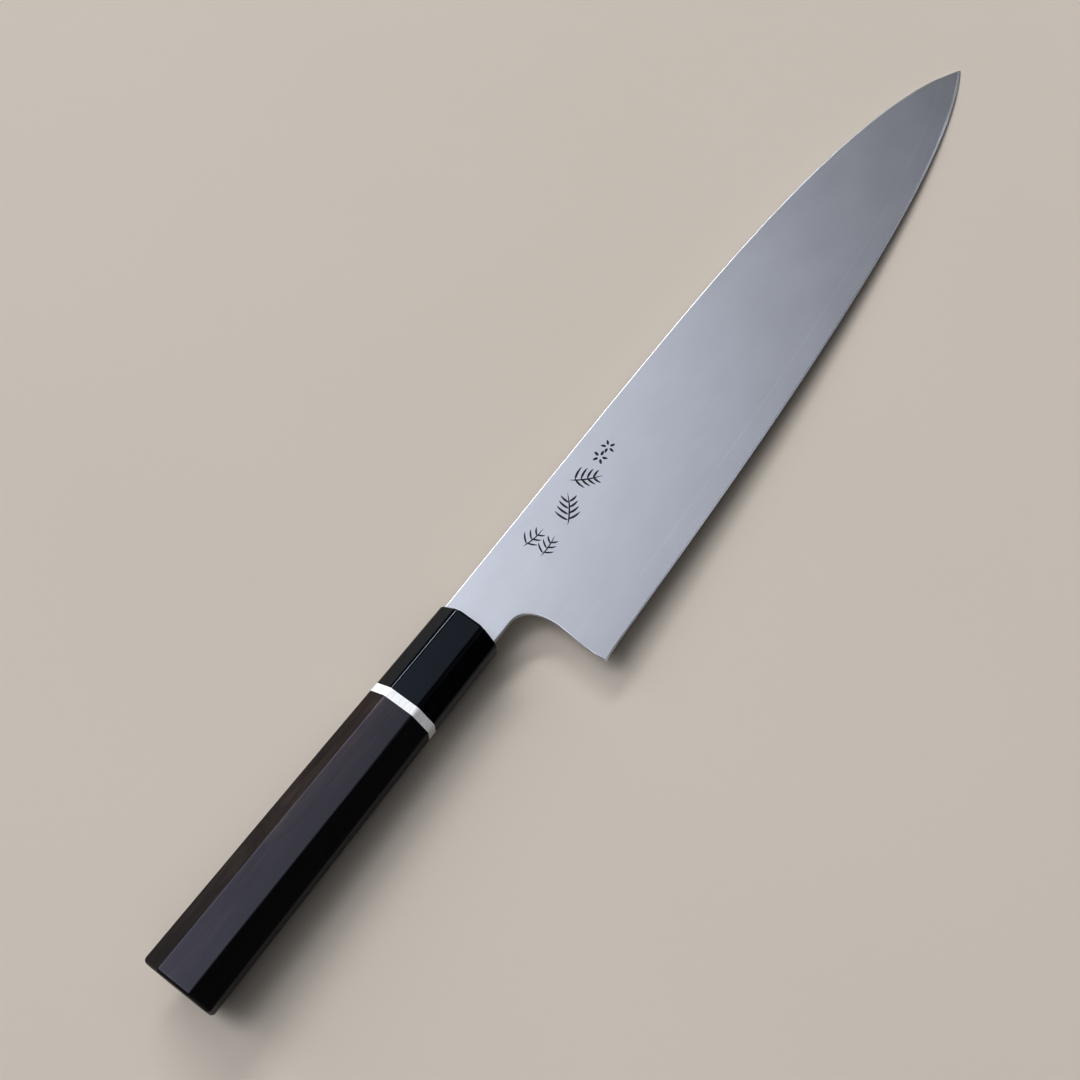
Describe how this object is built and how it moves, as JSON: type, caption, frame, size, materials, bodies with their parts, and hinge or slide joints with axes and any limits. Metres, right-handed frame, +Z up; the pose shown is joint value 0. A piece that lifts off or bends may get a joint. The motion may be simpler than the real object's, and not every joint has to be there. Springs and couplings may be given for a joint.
{
  "type": "chef knife",
  "caption": "Long laminated steel kitchen knife with an eight-sided dark wood grip, white spacer ring and black horn ferrule.",
  "frame": {"origin": "middle of the knife's bounding box, on the table that it lies on", "axes": "+X from the butt to the tip along the grip, +Y from the cutting edge to the spine, +Z up out of the blade's right face"},
  "size_m": [0.4262, 0.054, 0.0247],
  "materials": {
    "core_steel": "satin",
    "clad_steel": "satin",
    "sealant": "satin",
    "horn": "polished",
    "white_spacer": "satin",
    "ebony": "satin",
    "pale_wood": "matte",
    "resin": "satin"
  },
  "bodies": {
    "root": {"core_steel": "core_steel", "cladding_right": "clad_steel", "cladding_left": "clad_steel", "mouth_seal": "sealant", "ferrule": "horn", "spacer_ring": "white_spacer", "handle_body": "ebony", "tang_dowel": "pale_wood", "tang_bedding": "resin"}
  },
  "joints": []
}
